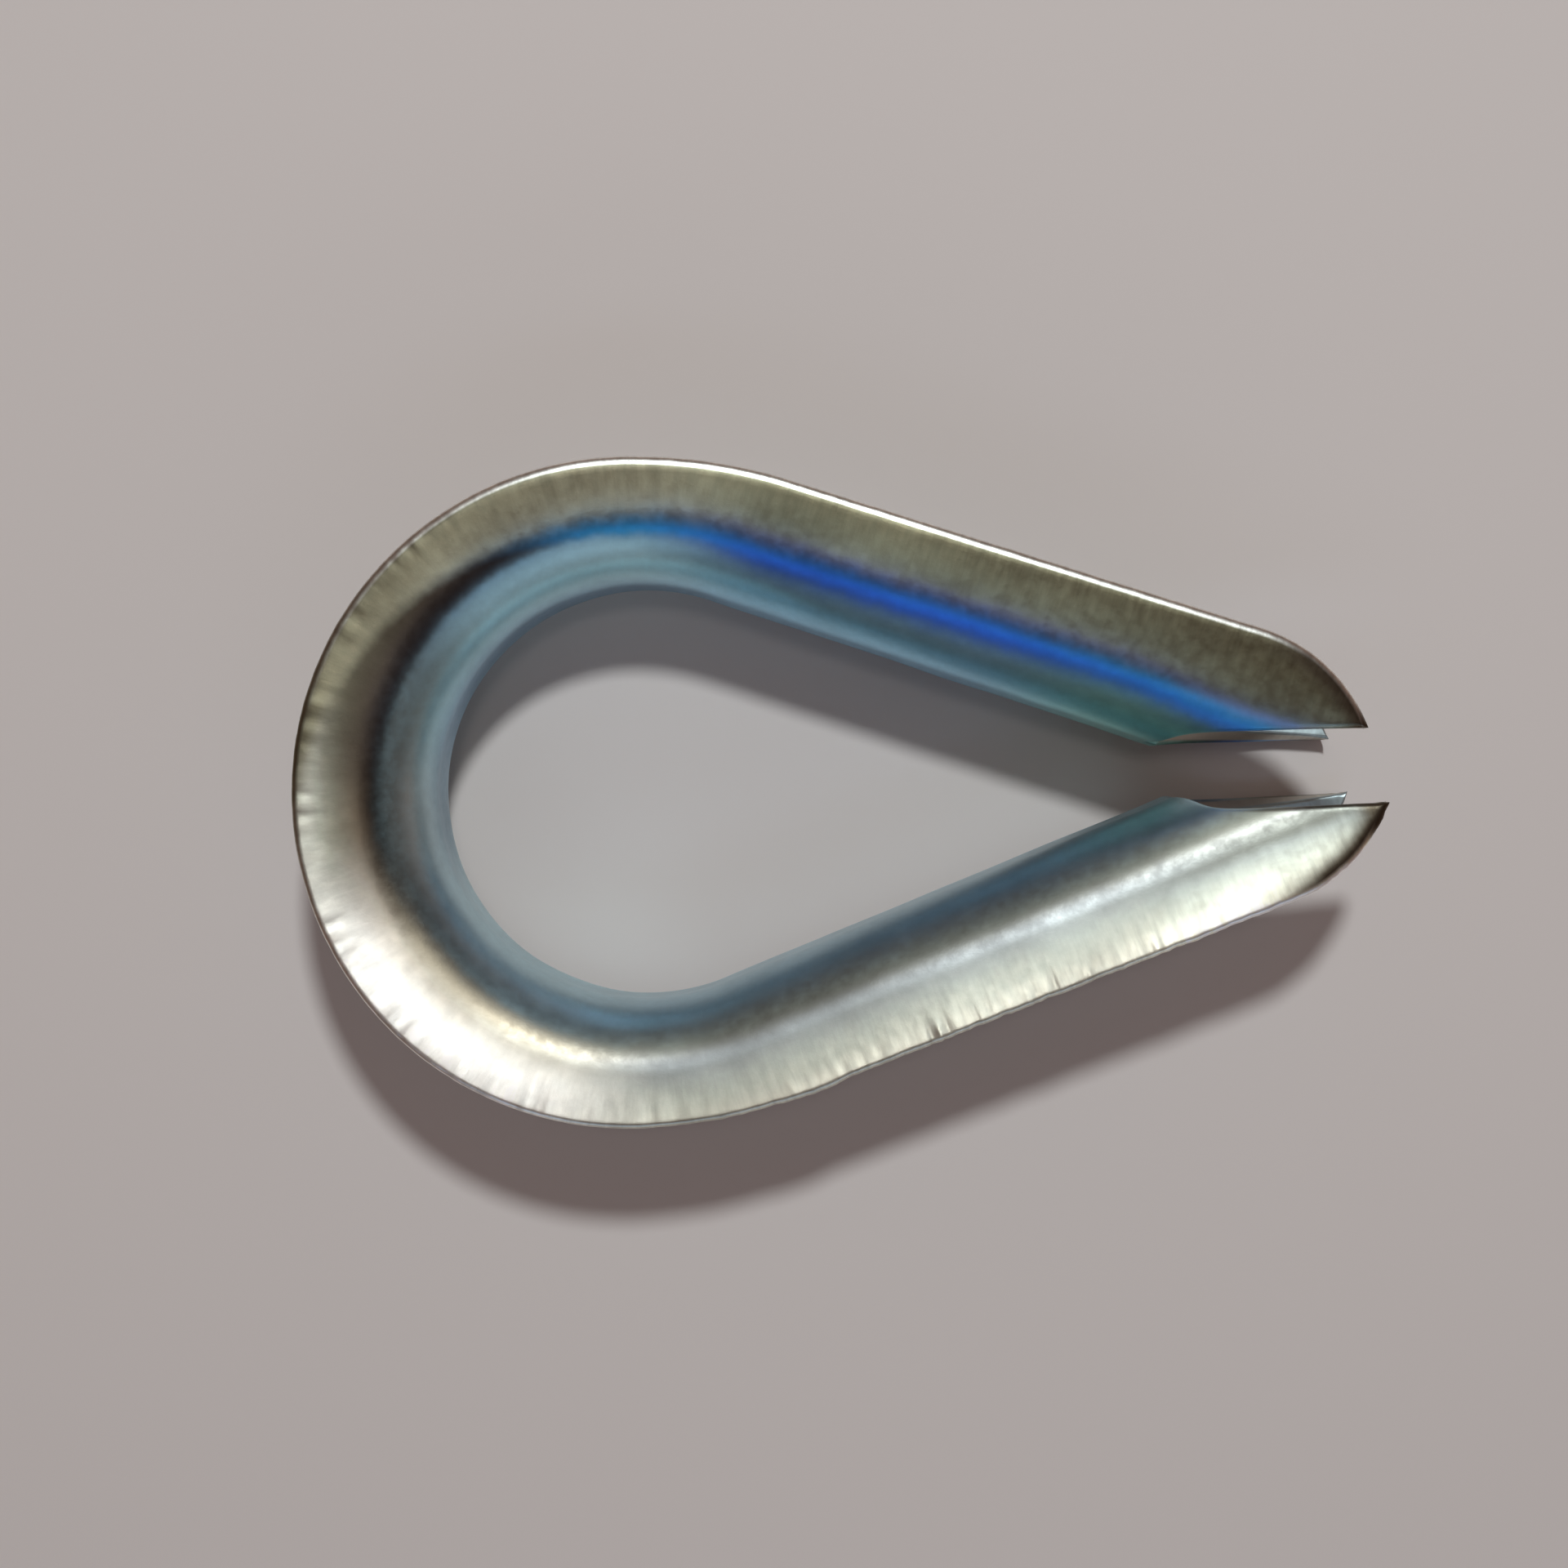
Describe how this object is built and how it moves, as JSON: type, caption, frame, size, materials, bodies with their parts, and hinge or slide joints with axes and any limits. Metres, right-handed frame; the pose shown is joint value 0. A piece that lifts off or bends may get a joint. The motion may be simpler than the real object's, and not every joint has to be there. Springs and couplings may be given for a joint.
{
  "type": "wire rope thimble",
  "caption": "Teardrop wire rope thimble of pressed, zinc-plated sheet steel: an outward-facing channel carries the rope around an open eye for a shackle or pin.",
  "frame": {"origin": "centre of the circle that the bow's throat follows, halfway through the thickness", "axes": "+X along the teardrop towards its open ends, +Z along the axis of the eye"},
  "size_m": [0.0617, 0.0378, 0.0136],
  "materials": {
    "zinc_plated_steel": "bright zinc plate with a blue passivate, satin, iridescent blue along the bends"
  },
  "bodies": {
    "root": {"thimble": "zinc_plated_steel"}
  },
  "joints": []
}
